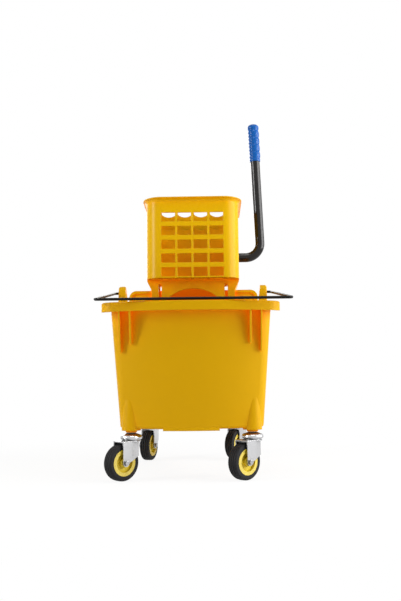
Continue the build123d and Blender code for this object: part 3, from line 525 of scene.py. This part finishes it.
def skin(name, rings, finish, joined=False):
    """A mesh over an array (rings, points round, 3).

    Quads join neighbouring rings and the points wrap round. A fan closes each end ring to its middle,
    unless the last ring is joined to the first. Faces that meet more sharply than crease keep a hard edge.
    """
    count, around = rings.shape[:2]
    index = np.arange(count * around).reshape(count, around)
    rows = np.vstack([index, index[:1]]) if joined else index
    low, high = rows[:-1], rows[1:]
    quads = np.stack([low, np.roll(low, -1, 1), np.roll(high, -1, 1), high], axis=-1).reshape(-1, 4)
    points, faces = rings.reshape(-1, 3), quads.tolist()
    if not joined:
        points = np.vstack([points, rings[0].mean(axis=0), rings[-1].mean(axis=0)])
        for ring, middle in ((index[0], len(points) - 2), (index[-1], len(points) - 1)):
            faces += np.stack([ring, np.roll(ring, -1), np.full(around, middle)], axis=-1).tolist()
    mesh = bpy.data.meshes.new(name)
    mesh.from_pydata(points.tolist(), [], faces)
    work = bmesh.new()
    work.from_mesh(mesh)
    bmesh.ops.recalc_face_normals(work, faces=work.faces)
    work.to_mesh(mesh)
    work.free()
    mesh.polygons.foreach_set("use_smooth", np.ones(len(mesh.polygons), bool))
    mesh.set_sharp_from_angle(angle=crease)
    mesh.materials.append(finish)
    piece = bpy.data.objects.new(name, mesh)
    bpy.context.collection.objects.link(piece)
    return piece


def full_turn(count):
    """Angles of count points, evenly round a circle."""
    return np.linspace(0, 2 * np.pi, count, endpoint=False)


print("helpers", skin.__name__, full_turn.__name__)

# %% [markdown]
# ## Tyres
# The tread of a small caster is a band of grey rubber with rounded shoulders and a few lines moulded round
# it. A torus would be too round, so the section is a superellipse: the radius stays level across the middle
# and falls off steeply at the shoulders. The lines are narrow dips taken from the radius.

# %% Tyre shape
tyre_half_width, rim_radius, tread_radius, squareness = 0.0120, 0.0274, 0.0381, 4.5
tread_lines, line_depth, line_width = (-0.0054, 0.0, 0.0054), 0.0016, 0.0009


def tread_section(count):
    """The tyre's section, as points of (distance x from its middle plane, radius).

    The radius is rim + (tread - rim) * (1 - |x / half width| ^ n) ^ (1 / n), with n the squareness, less a
    bell-shaped dip, depth * exp(-((x - line) / width) ^ 2), at each line.
    """
    x = tyre_half_width * np.sin(np.linspace(-np.pi / 2, np.pi / 2, count))
    bulge = (1 - np.abs(x / tyre_half_width) ** squareness) ** (1 / squareness)
    radius = rim_radius + (tread_radius - rim_radius) * bulge
    for line in tread_lines:
        radius = radius - line_depth * np.exp(-((x - line) / line_width) ** 2)
    return np.stack([x, radius], axis=-1)


def turns_round(middle, along, first, section, around):
    """Rings of a turned shape: a section of (distance along the axis, radius), carried round the axis.

    A point stands at middle + distance * along + radius * (cos t * first + sin t * second), with t from 0
    to a full turn and second square to along and first.
    """
    along, first = np.array(along, float), np.array(first, float)
    turn = full_turn(around)
    out = np.outer(np.cos(turn), first) + np.outer(np.sin(turn), np.cross(along, first))
    return middle + section[:, :1, None] * along + section[:, 1:, None] * out


tread = tread_section(161)
print("tread", len(tread), "points across", round(2000 * tyre_half_width, 1), "mm")

# %% [markdown]
# Each tyre takes the place of its plain solid and turns with its wheel. It could be made once and copied, but
# a piece keeps its place in its own mesh here, so the section is carried round each wheel's axle in turn.

# %% Tyres
for corner in ("front_left", "front_right", "rear_left", "rear_right"):
    spin = joints[f"spin_{corner}"]
    rings = turns_round(np.array(spin["pos_m"]), spin["axis"], (0, 0, 1), tread, around=120)
    tyre = skin(f"tyre_{corner}", rings, tyre_rubber, joined=True)
    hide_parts(f"caster_{corner}_tyre")
    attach(tyre, f"wheel_{corner}")
    print(tyre.name, len(tyre.data.vertices))

# %% [markdown]
# ## The grip
# The blue grip is moulded over the lever's top: a collar below, four swells for the fingers on its outer
# side, small ribs on the inner side, and a domed head. Sculpting would do, but the swells are regular, so
# the radius is a sum of waves up the grip, weighted by which side of the lever a point is on.

# %% Grip shape
grip_tall, bore_radius, bore_tall = 0.1005, 0.0121, 0.0955
body_radius, head_radius, least_radius = 0.0130, 0.0147, 0.0002
swell_count, swell_out, swell_power = 4, 0.0018, 0.75
rib_count, rib_out, side_power = 8, 0.0010, 1.2
fingers_from, fingers_tall = 0.008, 0.075
collar_at, collar_half, collar_out = 0.004, 0.0035, 0.0008
head_from, head_blend = 0.083, 0.007
dome_from, dome_tall, dome_squareness = 0.0905, 0.010, 2.4


def grip_radius(climb, turn):
    """The grip's radius at every height climb and every direction turn, where turn 0 is the outer side.

    The body's radius, plus swells |sin(n pi f)| ^ power on the outer side, ribs sin(m pi f) ^ 2 on the
    inner side and a bell-shaped collar; n and m are their counts, and f goes from 0 to 1 over the fingers'
    part. A smooth step leads to the head's radius, and the dome closes it as a superellipse.
    """
    outer = (0.5 + 0.5 * np.cos(turn)) ** side_power
    finger = np.clip((climb - fingers_from) / fingers_tall, 0, 1)
    swells = np.abs(np.sin(np.pi * swell_count * finger)) ** swell_power
    ribs = np.sin(np.pi * rib_count * finger) ** 2
    collar = np.exp(-((climb - collar_at) / collar_half) ** 4)
    step = np.clip((climb - head_from) / head_blend, 0, 1)
    head = (step * step * (3 - 2 * step))[:, None]
    dome = np.clip((climb - dome_from) / dome_tall, 0, 1)
    radius = body_radius + swell_out * np.outer(swells, outer) + rib_out * np.outer(ribs, 1 - outer)
    radius += collar_out * collar[:, None]
    radius = radius * (1 - head) + head_radius * head
    radius *= ((1 - dome ** dome_squareness) ** (1 / dome_squareness))[:, None]
    return np.maximum(radius, least_radius)


top_crowding = 1.6
climb = grip_tall * (1 - np.linspace(1, 0, 220) ** top_crowding)
turn = full_turn(96)
radius = grip_radius(climb, turn)
print("grip", radius.shape, "widest", round(2000 * float(radius.max()), 1), "mm")

# %% [markdown]
# The lever leans in a little, so the rings are stacked along the lever's own direction. Two more rings line
# the bore that the tube stands in.

# %% Grip
lever_lean, lever_reach, grip_from = math.radians(2.3), 0.1728, 0.25238
lever_up = np.array([-math.sin(lever_lean), 0.0, math.cos(lever_lean)])
lever_out = np.array([math.cos(lever_lean), 0.0, math.sin(lever_lean)])
shaft = joints["lever_turn"]["pos_m"]
grip_foot = np.array([lever_reach, shaft[1], shaft[2]]) + lever_up * grip_from
around = np.outer(np.cos(turn), lever_out) + np.outer(np.sin(turn), (0.0, 1.0, 0.0))
outside = grip_foot + climb[:, None, None] * lever_up + radius[:, :, None] * around
bore = grip_foot + np.array([bore_tall, 0.0])[:, None, None] * lever_up + bore_radius * around
grip = skin("grip", np.concatenate([bore, outside]), grip_blue)
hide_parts("lever_grip")
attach(grip, "lever")
print("grip", len(grip.data.vertices))

# %% [markdown]
# ## Return springs
# Two extension springs behind the press plate pull it back. Each is one wire: a hook round the plate's pin,
# a straight neck, eighteen turns, and the same again to the basket's pin. A curve with a round bevel could
# draw the wire; here it is a mesh, drawn at rest, which doesn't stretch when the plate moves.

# %% Spring shape
wire_radius, coil_radius, coil_pitch, coil_turns, neck = 0.0008, 0.0041, 0.0026, 18, 0.007
plate_pin, basket_pin, spring_height, spring_aside = 0.097, 0.179, 0.560, 0.0525
coil_start = (plate_pin + basket_pin - coil_pitch * coil_turns) / 2
handle = 0.009


def bridge(start, way, end, arrive, count):
    """A Hermite cubic from start to end that leaves along way and arrives along arrive."""
    t = np.linspace(0, 1, count, endpoint=False)[:, None]
    return ((2 * t**3 - 3 * t**2 + 1) * start + (t**3 - 2 * t**2 + t) * way
            + (3 * t**2 - 2 * t**3) * end + (t**3 - t**2) * arrive)


def coil_points():
    """The coil's middle line: (R sin a, start + pitch * a / 2 pi, R cos a).

    The angle a starts and ends a quarter turn inside the full count of turns.
    """
    angle = np.linspace(0.25, coil_turns - 0.25, 30 * coil_turns) * 2 * np.pi
    along = coil_start + coil_pitch * angle / (2 * np.pi)
    return np.stack([coil_radius * np.sin(angle), along, coil_radius * np.cos(angle)], axis=-1)


def neck_points(coil):
    """The coil with a bridge at each end, from the neck's direction to the coil's own, and back."""
    way, first, last = np.array([0, handle, 0]), coil[1] - coil[0], coil[-1] - coil[-2]
    first, last = (v / np.linalg.norm(v) * handle for v in (first, last))
    lead = np.array([0, coil[0, 1] - neck, coil_radius])
    trail = np.array([0, coil[-1, 1] + neck, coil_radius])
    enter = bridge(lead, way, coil[0], first, 24)
    leave = bridge(coil[-1], last, trail, way, 24)
    return np.concatenate([enter, coil[:-1], leave, trail[None]])


print("coil", coil_turns, "turns,", round(1000 * coil_pitch * coil_turns, 1), "mm long")

# %% [markdown]
# A hook is half a circle round its pin. The wire's own thickness needs two directions square to it at each
# point: on the coil one of them points away from the coil's middle, and on a hook away from the pin.

# %% Spring wire
def wire_path():
    """The middle of the wire at x = 0, as points and two directions square to it and to each other.

    With b from 0 to half a turn, the front hook is (0, pin - R sin b, -R cos b) and the rear hook is
    (0, pin + R sin b, R cos b); the necks and the coil come between them.
    """
    bend = np.linspace(0, np.pi, 24, endpoint=False)
    zero = np.zeros_like(bend)
    front = np.stack([zero, plate_pin - coil_radius * np.sin(bend), -coil_radius * np.cos(bend)], axis=-1)
    rear = np.stack([zero, basket_pin + coil_radius * np.sin(bend), coil_radius * np.cos(bend)], axis=-1)
    middle = neck_points(coil_points())
    points = np.concatenate([front, middle, rear])
    tangent = np.gradient(points, axis=0)
    tangent /= np.linalg.norm(tangent, axis=1, keepdims=True)
    outward = points * np.array([1, 0, 1])
    hooks = np.r_[np.arange(len(front)), np.arange(len(front) + len(middle), len(points))]
    outward[hooks] = np.cross((1, 0, 0), tangent[hooks])
    outward -= (outward * tangent).sum(axis=1, keepdims=True) * tangent
    outward /= np.linalg.norm(outward, axis=1, keepdims=True)
    return points + np.array([0, 0, spring_height]), outward, np.cross(tangent, outward)


path, outward, sideways = wire_path()
wire_long = float(np.linalg.norm(np.diff(path, axis=0), axis=1).sum())
print("wire", round(wire_long, 3), "m in each spring")

# %% [markdown]
# The wire is a row of small circles across its path, drawn at rest; one spring stands on each side.

# %% Springs
turn = full_turn(12)
thick = np.cos(turn)[None, :, None] * outward[:, None] + np.sin(turn)[None, :, None] * sideways[:, None]
for side, x in (("left", -spring_aside), ("right", spring_aside)):
    rings = path[:, None] + wire_radius * thick + np.array([x, 0, 0])
    spring = skin(f"spring_{side}", rings, spring_wire)
    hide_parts(f"return_spring_{side}")
    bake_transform(spring)
    print(spring.name, len(spring.data.vertices))

# %% [markdown]
# ## The end
# The dressed model has to stay in the engineering model's box.
